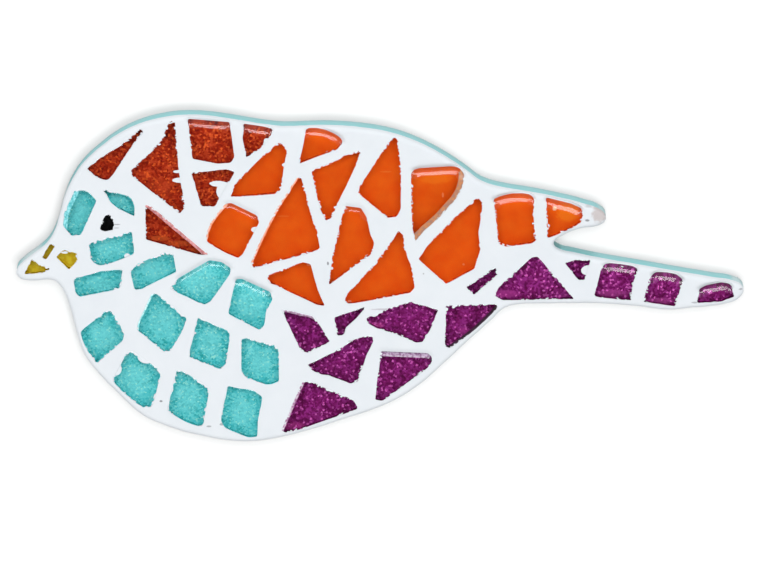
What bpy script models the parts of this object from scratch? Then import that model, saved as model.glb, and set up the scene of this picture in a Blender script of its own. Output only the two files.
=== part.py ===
"""Bird mosaic wall plaque.

A flat bird cut from board carries fifty cut pieces of glass tile, with a layer of grout cast between them.
X runs from the beak to the tail, Z is up and the front faces -Y. The back lies on y = 0, and the origin is
the middle of the patch on the back that is fixed to the wall.
"""

import math

import bmesh
import bpy
from mathutils import Vector

# Driving sizes, in metres
LENGTH = 0.260
BOARD_THICKNESS = 0.006
TILE_THICKNESS = 0.004
TILE_PROUD = 0.0003
BED = 0.0003
SIDE_GAP = 0.0003
SHOULDER = 0.0006
SHOULDER_STEPS = 2

# Longest mitre of a pocket's corner, in side gaps
MITRE_LIMIT = 2.5

# Fineness of the cut outline, in straight steps between two points
OUTLINE_STEPS = 2

# Points nearer than this are one point, and faces that turn less than this are one face
SAME_POINT = 1e-6
SAME_FACE = math.radians(0.006)

# The squared drawing: how it is read
SQUARES_LONG = 726.7
SQUARE = LENGTH / SQUARES_LONG
SEEN_FROM_ABOVE = math.radians(16)
FIXING = (305.5, 170)
GLASS_DROP = 3.3

# The board's outline on the squared drawing, from the beak's tip over the back to the tail and round below
OUTLINE = (
    (17, 269), (21, 263), (34, 252.8), (46, 243.4), (53.5, 233.5), (60, 217), (65, 199), (73, 180.5),
    (85, 163), (102, 147.5), (120, 134.5), (140, 124.8), (162, 118.6), (188, 115.5), (215, 117),
    (245, 121.5), (270, 125.4), (285, 126.6), (303, 126.2), (325, 125.6), (355, 127.2), (388, 132.2),
    (412, 139.8), (434, 150), (452, 160.5), (466, 170), (480, 180), (497, 185.8), (525, 190.6),
    (560, 197.4), (585, 203.8), (599, 209), (605, 216), (600, 222.5), (585, 225.4), (571, 229),
    (559, 235), (553, 241.5), (557, 247), (572, 251.3), (600, 257.2), (640, 264), (680, 271),
    (715, 276.8), (736, 280.8), (743.5, 287), (741, 293.5), (732, 299.5), (712, 303.5), (690, 305.5),
    (668, 307.5), (645, 304.8), (615, 302), (580, 300.8), (540, 301.4), (515, 302.4), (503, 306.5),
    (492, 317), (466, 340.5), (440, 365), (415, 386), (385, 403), (345, 417), (300, 431), (265, 438.5),
    (240, 440.2), (205, 435.5), (165, 424.5), (140, 412.5), (117, 391.5), (95, 368), (83, 351),
    (76, 328), (69, 301), (62, 285.5), (54, 278), (40, 278), (25, 277.5), (18.5, 274),
)

# The corners of the glass on the same drawing, one tuple for each piece
TEAL = (
    ((77, 191.3), (87, 191), (92, 194), (98.5, 201.5), (94, 210.5), (84.5, 231), (81.5, 235.8),
     (72.5, 236), (64.5, 226), (66, 214)),
    ((104.5, 190.3), (119, 194.2), (129, 196.5), (134, 200.5), (136, 206), (136, 217), (120, 209.2),
     (113, 203.5)),
    ((90.3, 243), (132.7, 232.3), (135.2, 252), (134, 254.5), (120, 260.3), (107, 265), (101, 265.5),
     (96, 264), (91.5, 258.5)),
    ((74.3, 279), (103, 271), (123, 270), (122, 284), (119.5, 288.5), (109, 291.3), (80, 297), (76, 293)),
    ((131, 271), (139, 264), (166, 253), (174, 255), (177, 272), (158, 281), (142, 289.3), (135, 290)),
    ((170, 289), (179, 279), (210, 261), (222, 263), (231, 269), (230.5, 274), (210.5, 302), (204, 305)),
    ((236, 280.5), (242, 280), (270, 293), (273, 299), (266.5, 311), (264.5, 325), (259.5, 330.3),
     (228, 314)),
    ((152, 294), (157, 294), (187, 319), (180.5, 334), (170, 351), (164, 352.3), (137, 330), (138, 323)),
    ((80.2, 332), (84, 328), (106, 311), (112.3, 311.8), (124.3, 334), (122.5, 341), (97.5, 362.5),
     (95, 362.5), (88.5, 353.5), (82, 339.5)),
    ((198, 318), (203, 320), (228, 331), (230, 336), (225.5, 364), (221, 368.8), (218, 369),
     (189, 357.3), (189, 352)),
    ((241.3, 339.7), (247.5, 338.5), (256, 341.5), (275, 346), (278.5, 351), (278.7, 381.5),
     (272, 384.5), (266, 385.3), (246, 378.3), (240.7, 371)),
    ((127, 352), (132, 352), (157, 369), (160, 376), (151, 407.5), (141, 407.8), (133, 402),
     (126.5, 396.5), (120, 390.5), (114, 383.5), (112, 379.5)),
    ((176.3, 371.3), (183, 372.5), (189, 376), (199, 383), (206, 387), (208, 394), (202, 426.5),
     (197, 427.3), (186, 423.5), (176, 418), (169.5, 414), (166.3, 410)),
    ((227.3, 386.3), (240, 388.7), (254, 391.3), (261.7, 397.5), (260.5, 406), (257, 422),
     (256.7, 437.8), (248, 438.6), (232, 432.5), (224, 428.7), (220, 421.3)),
)
RED = (
    ((88.5, 169.5), (102.5, 159.5), (123.5, 146.5), (133, 139.5), (142, 130.8), (145.5, 133.5),
     (135.5, 146), (125.5, 160), (116, 174.5), (110, 181), (105, 180.5), (98, 177.5)),
    ((172, 123), (177, 123), (180, 168), (186, 208), (181, 214), (134, 177), (133, 172), (163, 143)),
    ((190, 121.7), (231, 125), (236, 158), (232, 164), (220, 165), (194, 160)),
    ((245, 126.6), (266, 129.8), (272.5, 131.5), (273.5, 134), (267.5, 143.5), (260.5, 150.5),
     (247.5, 159), (244, 140)),
    ((193, 174), (228, 170), (236, 173), (216, 207), (202, 207)),
    ((147, 205), (151, 206), (209, 255), (200, 255), (147, 240)),
)
ORANGE = (
    ((270, 151.5), (279, 145.2), (282, 144.5), (288, 152), (286, 161), (281.5, 190), (277.5, 194.5),
     (258, 196.3), (231, 197.5), (236, 185), (254, 166.5)),
    ((307, 132), (310, 130.8), (318, 130.8), (326, 132.4), (334, 135.8), (340.5, 140), (343, 144),
     (337.5, 151), (320, 157), (299.5, 165)),
    ((312, 172), (340, 160.5), (345, 156.7), (362, 152), (355, 169), (331, 219), (326, 221), (320, 208)),
    ((390.8, 140.7), (392.5, 139.2), (395.5, 139.6), (397.8, 143), (400.7, 172), (400.8, 209),
     (397, 217), (388, 218.5), (358, 193.5), (360, 187)),
    ((411, 175), (413.5, 172), (419, 170.3), (449, 168.5), (454, 168.6), (459, 170.6), (463.5, 176),
     (462.5, 183), (460, 192), (455.5, 199.5), (438.5, 218.5), (425, 230), (415, 241.5), (412.5, 228),
     (411, 205)),
    ((226.5, 205), (232, 204), (257.5, 216.5), (260, 222.5), (243, 255), (239, 258.3), (230, 255),
     (220, 249.8), (207, 241.5), (207.5, 234), (211, 225), (217, 216)),
    ((298, 178), (302, 178.8), (313, 221), (317, 230), (320.3, 248), (316, 251.3), (254, 268.3),
     (251.5, 262.5), (258.5, 247), (268.5, 226.5), (277.5, 209.5), (287, 195)),
    ((345.5, 207), (361, 209), (366.5, 218), (371, 236), (374, 242), (372.5, 253.5), (329, 285),
     (332.5, 258), (337.5, 236), (341.5, 220)),
    ((398.5, 231), (403.2, 236), (404, 247.5), (411.3, 267), (414.8, 288), (410, 293), (350, 304.2),
     (344.5, 302), (347, 294), (357.5, 283), (371.5, 268), (386, 249.5)),
    ((473.5, 200), (479, 199), (482, 204), (478, 233), (480, 250), (474, 269), (446, 284.3), (418, 259),
     (426.5, 247), (433, 239.5), (441, 232.5), (452, 220.3), (463, 210.5)),
    ((303, 262), (311, 264), (318, 290), (325, 306), (317, 305), (268, 282), (268, 276)),
    ((493, 201), (500, 198), (511, 195.3), (522, 195.3), (529, 196.5), (532.8, 199.5), (533, 228),
     (535, 234), (535.5, 240.5), (530.5, 244), (505, 246.8), (498, 244)),
    ((545, 199.5), (570, 205.5), (580, 210), (582, 215), (579.5, 223.5), (568, 230), (546.5, 239)),
)
PURPLE = (
    ((466, 287.5), (495, 267.5), (497.5, 274.5), (474, 295)),
    ((531, 257.5), (537, 256.5), (574, 299), (502, 300.5), (495, 296), (498, 288)),
    ((564, 263), (576, 260), (590, 260.4), (584, 280), (578, 280)),
    ((600, 270), (604, 265.5), (609, 264.5), (620, 265.7), (632, 267.6), (637, 270), (633, 281),
     (631, 292), (630.8, 300.8), (594, 297)),
    ((648.5, 280), (652, 275.7), (656, 273.3), (667, 274), (676, 275.8), (682, 280.5), (680, 288),
     (674.5, 306.5), (643, 302)),
    ((699, 290), (706, 286.5), (721, 283.5), (728, 284.8), (731, 287), (732, 291), (734, 297),
     (720, 302), (697, 303)),
    ((281, 309), (312.5, 316.5), (317, 322), (330, 342), (308, 353), (301, 351)),
    ((334, 317.3), (365.5, 307.3), (356.5, 318.5), (347, 326.5), (345.7, 332), (341.5, 336),
     (337.5, 335.5)),
    ((366.5, 318), (388, 309), (411, 302), (438.5, 310), (436, 315), (432, 326), (423, 342), (416, 343),
     (396, 334), (386, 331), (376, 328), (367.5, 323)),
    ((446, 306), (490, 304.5), (496.5, 305), (498, 307.3), (485.5, 320.3), (473, 331.3), (461, 340.8),
     (450, 348.3), (445, 346.3)),
    ((307.5, 365.5), (322, 358), (342, 348), (347, 344), (355, 339.5), (365, 336.8), (371.5, 336),
     (373.7, 341), (366.8, 355), (362.8, 366), (359, 377), (358, 382), (350, 384), (337, 379),
     (328, 375.8), (320, 374.5), (313, 371.5)),
    ((381, 352), (428, 354), (431.7, 357.5), (432, 361.5), (428, 368), (408, 383), (382.5, 401.5),
     (375, 400.5)),
    ((302, 383), (309.5, 381.5), (323, 388.3), (354, 401), (357.5, 407.5), (357, 410), (333, 418.5),
     (308, 427.5), (295, 431.7), (284, 433.5), (281, 431.3)),
)
YELLOW = (
    ((33, 259.5), (40, 265), (51, 269), (44, 273), (25, 274.5)),
    ((51.5, 243.5), (57, 246), (47, 260), (43, 258)),
    ((57, 257), (65, 250), (78, 254), (79, 260), (70, 270)),
)
EYE = (
    ((107, 214), (112, 216), (116, 223), (115, 230), (106, 232), (101, 230)),
)

# Each sort of glass: its pieces' name, their corners, its colour and its roughness
GLASS = (
    ("teal_tile", TEAL, (0.06, 0.48, 0.50, 1), 0.12),
    ("red_tile", RED, (0.33, 0.03, 0.01, 1), 0.12),
    ("orange_tile", ORANGE, (0.72, 0.09, 0.005, 1), 0.08),
    ("purple_tile", PURPLE, (0.18, 0.005, 0.11, 1), 0.12),
    ("yellow_tile", YELLOW, (0.56, 0.39, 0.01, 1), 0.15),
    ("eye_tile", EYE, (0.005, 0.005, 0.005, 1), 0.10),
)
BOARD_PAINT = (0.30, 0.66, 0.67, 1)
GROUT_COLOUR = (0.84, 0.86, 0.90, 1)

# Where each layer lies, as depths in front of the wall
GLASS_BACK = BOARD_THICKNESS + BED
GLASS_FRONT = GLASS_BACK + TILE_THICKNESS
GROUT_BACK = BOARD_THICKNESS + BED
GROUT_FRONT = GLASS_FRONT - TILE_PROUD


def clear_scene():
    """Remove what the scene holds."""
    for thing in list(bpy.data.objects):
        bpy.data.objects.remove(thing, do_unlink=True)


def pattern(square, drop=0.0):
    """Turn a point of the squared drawing into a point of the flat pattern.

    The drawing looks down on the plaque a little, so its rows are squeezed, and what stands in front of the
    board is drawn lower by `drop` squares.
    """
    column, row = square
    across = (column - FIXING[0]) * SQUARE
    up = (FIXING[1] - row + drop) * SQUARE / math.cos(SEEN_FROM_ABOVE)
    return Vector((across, up))


def glass_corners(squares):
    """The corners of one piece of glass on the flat pattern, anticlockwise seen from the front."""
    corners = [pattern(square, GLASS_DROP) for square in squares]
    return corners[::-1]


def widened(corners, gap):
    """Move every side of an anticlockwise outline out by a gap, with short mitres at the sharp corners."""
    moved = []
    for index, corner in enumerate(corners):
        before = (corner - corners[index - 1]).normalized()
        after = (corners[(index + 1) % len(corners)] - corner).normalized()
        outward = Vector((before.y + after.y, -before.x - after.x)).normalized()
        spread = max(outward.dot(Vector((after.y, -after.x))), 1 / MITRE_LIMIT)
        moved.append(corner + outward * gap / spread)
    return moved


def flat_curve(name, thickness):
    """A filled flat curve that will be as thick as asked."""
    curve = bpy.data.curves.new(name, "CURVE")
    curve.dimensions = "2D"
    curve.fill_mode = "BOTH"
    curve.extrude = thickness / 2
    curve.resolution_u = OUTLINE_STEPS
    return curve


def draw_outline(curve):
    """Draw the bird as one smooth closed line."""
    spline = curve.splines.new("BEZIER")
    spline.bezier_points.add(len(OUTLINE) - 1)
    for knot, square in zip(spline.bezier_points, OUTLINE):
        knot.co = pattern(square).to_3d()
        knot.handle_left_type = "AUTO"
        knot.handle_right_type = "AUTO"
    spline.use_cyclic_u = True


def draw_corners(curve, corners):
    """Draw a straight-sided closed line."""
    spline = curve.splines.new("POLY")
    spline.points.add(len(corners) - 1)
    for knot, corner in zip(spline.points, corners):
        knot.co = (corner.x, corner.y, 0, 1)
    spline.use_cyclic_u = True


def stand_up(thing, back, front, fixing):
    """Turn a flat piece to face -Y between two depths in front of the wall."""
    thing.rotation_euler = (math.pi / 2, 0, 0)
    thing.location = (0, -(back + front) / 2, 0)
    thing.parent = fixing


def finish_piece(curve, back, front, fixing, collection, material, shoulder=0.0):
    """Make a curve a closed mesh piece, round its front rim and put it in its place."""
    outline = bpy.data.objects.new(curve.name + "_outline", curve)
    collection.objects.link(outline)
    bpy.context.view_layer.update()
    evaluated = outline.evaluated_get(bpy.context.evaluated_depsgraph_get())
    mesh = bpy.data.meshes.new_from_object(evaluated)
    name = curve.name
    bpy.data.objects.remove(outline)
    bpy.data.curves.remove(curve)
    mesh.name = name
    weld_and_round(mesh, shoulder)
    mesh.materials.clear()
    mesh.materials.append(material)
    piece = bpy.data.objects.new(name, mesh)
    collection.objects.link(piece)
    stand_up(piece, back, front, fixing)
    return piece


def weld_and_round(mesh, shoulder):
    """Close the caps of an extruded outline and round the rim of its front one."""
    bm = bmesh.new()
    bm.from_mesh(mesh)
    bmesh.ops.remove_doubles(bm, verts=bm.verts, dist=SAME_POINT)
    bmesh.ops.recalc_face_normals(bm, faces=bm.faces)
    if shoulder:
        flat = [edge for edge in bm.edges if edge.is_manifold and edge.calc_face_angle() < SAME_FACE]
        bmesh.ops.dissolve_edges(bm, edges=flat)
        front = max(vert.co.z for vert in bm.verts)
        rim = [edge for edge in bm.edges if all(front - vert.co.z < SAME_POINT for vert in edge.verts)]
        bmesh.ops.bevel(bm, geom=rim, offset=shoulder, segments=SHOULDER_STEPS, profile=0.5,
                        affect="EDGES", clamp_overlap=True)
    bm.to_mesh(mesh)
    bm.free()


def make_material(name, colour, roughness):
    """A plain material of one colour."""
    material = bpy.data.materials.new(name)
    material.use_nodes = True
    material.diffuse_color = colour
    shader = material.node_tree.nodes["Principled BSDF"]
    shader.inputs["Base Color"].default_value = colour
    shader.inputs["Roughness"].default_value = roughness
    shader.inputs["Metallic"].default_value = 0.0
    return material


def make_board(fixing, collection):
    """The bird cut from board."""
    curve = flat_curve("board", BOARD_THICKNESS)
    draw_outline(curve)
    paint = make_material("turquoise_paint", BOARD_PAINT, 0.5)
    finish_piece(curve, 0, BOARD_THICKNESS, fixing, collection, paint)


def make_grout(fixing, collection):
    """The grout: the board's outline with a pocket round every piece of glass."""
    curve = flat_curve("grout", GROUT_FRONT - GROUT_BACK)
    draw_outline(curve)
    for _, pieces, _, _ in GLASS:
        for squares in pieces:
            draw_corners(curve, widened(glass_corners(squares), SIDE_GAP))
    plaster = make_material("pale_grout", GROUT_COLOUR, 0.8)
    finish_piece(curve, GROUT_BACK, GROUT_FRONT, fixing, collection, plaster)


def make_glass(fixing, collection):
    """Every piece of glass, each with a rounded front rim."""
    for kind, pieces, colour, roughness in GLASS:
        material = make_material(kind + "_glass", colour, roughness)
        for number, squares in enumerate(pieces, start=1):
            name = kind if len(pieces) == 1 else f"{kind}_{number:02d}"
            curve = flat_curve(name, TILE_THICKNESS)
            draw_corners(curve, glass_corners(squares))
            finish_piece(curve, GLASS_BACK, GLASS_FRONT, fixing, collection, material, SHOULDER)


def main():
    """Build the plaque."""
    clear_scene()
    collection = bpy.data.collections.new("bird_mosaic_plaque")
    bpy.context.scene.collection.children.link(collection)
    fixing = bpy.data.objects.new("wall_fixing", None)
    collection.objects.link(fixing)
    make_board(fixing, collection)
    make_grout(fixing, collection)
    make_glass(fixing, collection)
    bpy.context.view_layer.update()


main()
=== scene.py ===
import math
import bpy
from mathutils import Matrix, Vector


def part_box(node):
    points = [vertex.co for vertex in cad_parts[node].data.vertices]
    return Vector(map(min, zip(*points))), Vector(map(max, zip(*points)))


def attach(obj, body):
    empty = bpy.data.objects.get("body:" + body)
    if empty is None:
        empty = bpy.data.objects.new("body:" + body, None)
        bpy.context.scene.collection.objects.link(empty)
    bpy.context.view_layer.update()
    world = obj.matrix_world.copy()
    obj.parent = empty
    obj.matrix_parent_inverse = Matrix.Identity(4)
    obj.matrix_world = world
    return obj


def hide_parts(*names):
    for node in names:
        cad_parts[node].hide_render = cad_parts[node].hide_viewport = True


bl_info = {
    "name": "Bird mosaic wall plaque",
    "version": (1, 0, 0),
    "blender": (4, 5, 0),
    "location": "3D View > Sidebar > Plaque",
    "description": "A bird cut from board, set with cut glass tile and grouted",
    "category": "Add Mesh",
}

import bpy
import numpy as np
from mathutils import Vector
from mathutils.geometry import delaunay_2d_cdt

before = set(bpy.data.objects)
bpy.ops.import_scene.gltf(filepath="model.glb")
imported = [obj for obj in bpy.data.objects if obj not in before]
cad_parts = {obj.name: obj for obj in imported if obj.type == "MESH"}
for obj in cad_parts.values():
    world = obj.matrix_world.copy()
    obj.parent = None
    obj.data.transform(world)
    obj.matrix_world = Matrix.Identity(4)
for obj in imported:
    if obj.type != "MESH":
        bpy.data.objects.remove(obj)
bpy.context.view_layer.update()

# The squared drawing that places are read from: the bird's ends, its fixing, how it is seen and its frame
BEAK_COLUMN = 17.0
TAIL_COLUMN = 743.5
FIXING = (305.5, 170.0)
SEEN_FROM_ABOVE = math.radians(16)
PICTURE_WIDTH = 760
PICTURE_MIDDLE = (380, 281.5)
BOARD_LOW, BOARD_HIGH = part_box("board")
SQUARE = (BOARD_HIGH.x - BOARD_LOW.x) / (TAIL_COLUMN - BEAK_COLUMN)

# Depths in front of the wall, from the frame
BOARD_FRONT = -BOARD_LOW.y
GLASS_BACK = -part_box("orange_tile_01")[1].y
GLASS_FRONT = -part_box("orange_tile_01")[0].y
GROUT_BACK = -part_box("grout")[1].y
GROUT_FRONT = -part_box("grout")[0].y

# A millimetre, in metres
MM = 0.001

# How much lower a place on the coat lies than where it shows through the glass
GLASS_DROP = 0.8 * MM

# How much lower a place on the board's painted side lies than one as high in the drawing on the glass
SIDE_DROP = 2.1 * MM

# How much the wiping has drawn the grout's ragged edge out, along and up the plaque
WIPED = (0.45, 1.0)

# The pieces of glass whose upper sides stand clear of the grout, and how deep the grout lies there, in mm
BARE_TOPS = {
    "red_tile_03": 1.3,
    "red_tile_04": 1.3,
    "orange_tile_02": 1.2,
    "orange_tile_05": 1.4,
    "orange_tile_06": 0.5,
    "orange_tile_08": 0.5,
    "orange_tile_12": 1.5,
    "orange_tile_13": 1.6,
    "purple_tile_04": 1.4,
    "purple_tile_05": 1.5,
    "purple_tile_06": 1.4,
    "purple_tile_12": 0.5,
    "teal_tile_06": 0.8,
    "teal_tile_07": 1.3,
}

# Layers of unevenness as the weight and size of their bumps, and the seeds of those that no tile gives
CUT_LAYERS = ((1, 2.2 * MM), (0.6, MM))
OUTLINE_LAYERS = ((1, 3 * MM), (0.5, 1.1 * MM))
FACE_LAYERS = ((1, 9 * MM), (0.35, 3.1 * MM), (0.12, MM))
OUTLINE_SEED = 71
FACE_SEED = 11
FILM_SEED = 31
GRID_SEED = 5

# Sizes of the patches in which the grout's lips change, of their notches and the teeth of their comb
LIP_PATCH = 2.6 * MM
CALM_PATCH = 6 * MM
NOTCH = 0.75 * MM
COMB = 0.34 * MM
WHOLE_TILE = 14 * MM
FILM_PATCH = 0.9 * MM
TONGUE_WAVE = 0.07 * MM
TONGUE_PATCH = 0.5 * MM

# How far the hollows beside bare tops reach on the face and in a lip, and how far back a lip may draw
HOLLOW_REACH = 1.3 * MM
LIP_HOLLOW = 0.5 * MM
LIP_HOLLOW_LIMIT = 0.3 * MM

# Where the meshes have their rings of points: angles round the rim, shares of a shoulder, distances in mm
RIM_ANGLES = (67.5, 45.0, 22.5, 0.0)
SHOULDER_SHARES = (0.62, 0.75, 0.86, 0.93, 1.0)
OUTLINE_RINGS = (0.15, 0.4, 0.8, 1.4, 2.2)
POCKET_RINGS = (0.25, 0.9)
LIP_RINGS = (0.1, 0.25, 0.45, 0.75)
OUTLINE_STEP = 0.9 * MM
GLASS_GRID = 1.7 * MM
GROUT_GRID = 1.25 * MM
OPENING_MARGIN = 0.8 * MM
FEWEST_STRETCHES = 14
LOOSE_SHARE = 13

# Gaps that keep the grout's mesh off the glass and its loose points off its lines
POCKET_GAP = 0.03 * MM
GLASS_CLEARANCE = 0.015 * MM
RIM_CLEARANCE = 0.07 * MM
LIP_CLEARANCE = 0.03 * MM

# Points nearer than this are one, points measured at a time, and places along a side of the random lattice
MERGED = 1e-8
BLOCK = 4096
LATTICE = 256

# Tongues of grout over a piece of glass on the squared drawing: column, row, half width and half height
TONGUES = {
    "red_tile_02": ((181, 172.5, 6, 1.6), (181, 181, 7, 2.6)),
    "red_tile_05": ((226, 192, 8.5, 9.5), (219, 184.5, 8, 3), (242, 186, 13, 8)),
    "orange_tile_06": ((256, 230, 4, 3),),
    "purple_tile_03": ((589, 270.5, 8.5, 5.5),),
    "purple_tile_08": ((352, 331, 7, 6.5), (359, 327, 6, 4)),
    "teal_tile_12": ((115, 369, 6, 7), (146, 356, 9, 8)),
    "red_tile_04": ((268, 142, 3.2, 2.4),),
    "orange_tile_01": ((287, 166, 4.5, 2.2),),
    "orange_tile_10": ((469, 202, 4, 3.4),),
    "teal_tile_03": ((128, 256, 3, 2.5),),
    "yellow_tile_01": ((43, 262.3, 5.5, 3.0),),
    "yellow_tile_03": ((66, 252.6, 3.4, 1.1),),
}

# Broken or filmed sides of the glass that show as a band, and painted highlights along the shoulders of
# orange_tile_06,
# orange_tile_07 and teal_tile_08: which way they face in degrees anticlockwise from the tail, their width in
# mm and two colours
BANDS = {
    "red_tile_06": (50, 1.15, (0.62, 0.27, 0.27), (0.40, 0.13, 0.13)),
    "orange_tile_05": (-19, 1.9, (0.33, 0.17, 0.12), (0.50, 0.20, 0.08)),
    "orange_tile_06": (145, 0.7, (0.85, 0.40, 0.27), (0.80, 0.26, 0.10)),
    "orange_tile_07": (151, 0.6, (0.85, 0.38, 0.25), (0.80, 0.26, 0.10)),
    "purple_tile_07": (77, 0.75, (0.42, 0.30, 0.42), (0.20, 0.08, 0.16)),
    "purple_tile_10": (-47, 1.1, (0.022, 0.006, 0.016), (0.05, 0.012, 0.04)),
    "purple_tile_12": (92, 1.6, (0.40, 0.30, 0.42), (0.16, 0.06, 0.15)),
    "purple_tile_13": (156, 0.8, (0.55, 0.40, 0.52), (0.30, 0.10, 0.24)),
    "teal_tile_01": (166, 1.6, (0.27, 0.66, 0.70), (0.06, 0.40, 0.43)),
    "teal_tile_08": (152, 0.6, (0.55, 0.85, 0.87), (0.16, 0.60, 0.61)),
}

# Marks on the squared drawing: column, row, half width, half height, colour and strength
GROUT_MARKS = (
    (598.5, 214.5, 8.5, 9.5, (0.42, 0.36, 0.35), 0.75),
    (586, 221, 2.4, 1.3, (0.16, 0.16, 0.17), 0.8),
    (588, 208, 5, 1.0, (0.30, 0.30, 0.31), 0.4),
    (740, 289.5, 2.2, 1.1, (0.22, 0.22, 0.24), 0.7),
    (694, 302.8, 3.0, 1.0, (0.20, 0.20, 0.22), 0.6),
    (328, 263.5, 1.1, 2.0, (0.14, 0.14, 0.15), 0.8),
    (160, 402, 1.8, 1.1, (0.14, 0.14, 0.15), 0.8),
    (208, 427.5, 2.6, 1.1, (0.22, 0.23, 0.24), 0.7),
    (220.5, 425.5, 2.2, 1.4, (0.18, 0.22, 0.23), 0.7),
    (423.5, 274, 0.9, 0.9, (0.25, 0.25, 0.25), 0.7),
    (431, 326.5, 1.2, 0.9, (0.20, 0.20, 0.20), 0.7),
    (118.5, 225, 3.4, 0.7, (0.12, 0.12, 0.13), 0.6),
    (118, 228.5, 2.8, 0.6, (0.12, 0.12, 0.13), 0.5),
    (385, 309.5, 16, 1.0, (0.30, 0.24, 0.30), 0.5),
    (352, 341.5, 4.5, 0.9, (0.30, 0.28, 0.30), 0.6),
)
PAINT_SMEARS_AND_SHADE = (
    # The two darkest paint marks, first here, are painted shade on the board's side in the notch of the
    # outline; the pale ones are grout smeared over the side
    (575, 250, 24, 8, (0.11, 0.37, 0.375), 0.75),
    (557, 243, 6, 5, (0.05, 0.25, 0.25), 0.85),
    (736, 283, 9, 8, (0.50, 0.56, 0.57), 0.6),
    (600, 211, 8, 6, (0.42, 0.52, 0.52), 0.55),
    (66, 210, 9, 32, (0.50, 0.56, 0.57), 0.75),
    (40, 255, 24, 12, (0.50, 0.55, 0.56), 0.7),
    (640, 262, 16, 5, (0.15, 0.45, 0.47), 0.4),
    (360, 120, 30, 5, (0.18, 0.47, 0.50), 0.5),
)
# Painted light on the coats behind the glass: brighter patches that stand for light gathered in the glass,
# the palest orange one a painted highlight
COAT_LIGHT_MARKS = {
    "orange": (
        (553.8, 209.3, 2.2, 1.9, (1.0, 0.72, 0.42), 0.95),
        (442.5, 195.5, 1.2, 2.6, (1.0, 0.36, 0.13), 0.6),
        (386, 172.5, 6.5, 1.0, (1.0, 0.26, 0.05), 0.5),
        (284, 216.5, 7.0, 0.9, (1.0, 0.24, 0.05), 0.5),
        (463.5, 264.5, 1.4, 1.2, (1.0, 0.40, 0.18), 0.6),
        (349.5, 301, 2.0, 1.2, (1.0, 0.50, 0.30), 0.7),
        (309, 265, 2.4, 1.3, (1.0, 0.45, 0.25), 0.6),
        (567, 214, 12, 9, (1.0, 0.23, 0.012), 0.8),
        (435, 180, 17, 5, (1.0, 0.21, 0.012), 0.7),
    ),
    "purple": (
        (506, 293.5, 13, 4.5, (0.75, 0.08, 0.50), 0.55),
        (376, 325, 8, 3.2, (0.80, 0.08, 0.40), 0.6),
        (464, 331, 6, 4.0, (0.75, 0.08, 0.50), 0.5),
        (612, 293, 17, 4.0, (0.70, 0.10, 0.48), 0.45),
        (563, 296, 9, 3.0, (0.60, 0.07, 0.45), 0.4),
        (294, 427, 11, 4.5, (0.75, 0.08, 0.42), 0.45),
        (345, 347, 6, 4.0, (0.45, 0.05, 0.38), 0.4),
        (660, 301, 14, 3.5, (0.70, 0.12, 0.48), 0.45),
    ),
    "red": (
        (160, 238.5, 11, 3.0, (0.90, 0.16, 0.035), 0.6),
        (179, 243.5, 11, 3.0, (0.90, 0.16, 0.035), 0.6),
        (196, 250, 9, 2.6, (0.90, 0.16, 0.035), 0.6),
        (160, 190, 14, 12, (0.75, 0.09, 0.025), 0.35),
    ),
}

# What a user can change: sizes in metres, colours and the stage's settings, each with what it is
SIZES = {
    "sunk": (0.00006, "How far the glass faces lie behind the foremost grout lips"),
    "corner": (0.0007, "How far back the corners of the glass start to round"),
    "step": (0.0008, "Spacing of points along the sides of the glass"),
    "cut_rim": (0.0004, "Rounding of the glass rim along cut sides"),
    "moulded_rim": (0.0010, "Rounding of the glass rim along moulded sides"),
    "shoulder_ease": (0.00025, "Width over which a moulded shoulder meets the face"),
    "cut_wave": (0.00016, "Unevenness of the cut sides"),
    "cut_spread": (0.00014, "How far the cut sides reach out under the grout"),
    "lip": (0.0001, "Usual reach of the grout over the glass"),
    "ragged": (0.0005, "Raggedness of the grout's edge"),
    "film": (0.00004, "Thickness of the grout over the glass"),
    "contour_step": (0.00019, "Fineness of the grout's ragged edge"),
    "undulation": (0.00008, "Unevenness of the grout's face"),
    "edge_round": (0.0012, "Width over which the grout falls away at the outline"),
    "edge_drop": (0.0010, "How far the grout falls away at the outline"),
    "edge_wave": (0.00018, "Unevenness of the grout's outline"),
    "board_ease": (0.00025, "Easing of the board's edges"),
}
COLOURS = {
    "orange": ((0.975, 0.155, 0.009), "Coat of the orange glass"),
    "orange_deep": ((0.93, 0.115, 0.006), "Deeper streaks of the orange glass"),
    "yellow": ((0.96, 0.80, 0.05), "Coat of the yellow glass"),
    "yellow_deep": ((0.86, 0.62, 0.02), "Deeper streaks of the yellow glass"),
    "eye_black": ((0.004, 0.004, 0.004), "Coat of the eye"),
    "eye_grey": ((0.012, 0.012, 0.014), "Paler patches of the eye"),
    "grout": ((0.615, 0.645, 0.675), "The grout"),
    "grout_shade": ((0.595, 0.628, 0.66), "Denser patches of the grout"),
    "paint": ((0.226, 0.49, 0.51), "The board's paint"),
    "paint_deep": ((0.175, 0.45, 0.465), "Brush marks in the board's paint"),
}
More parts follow.
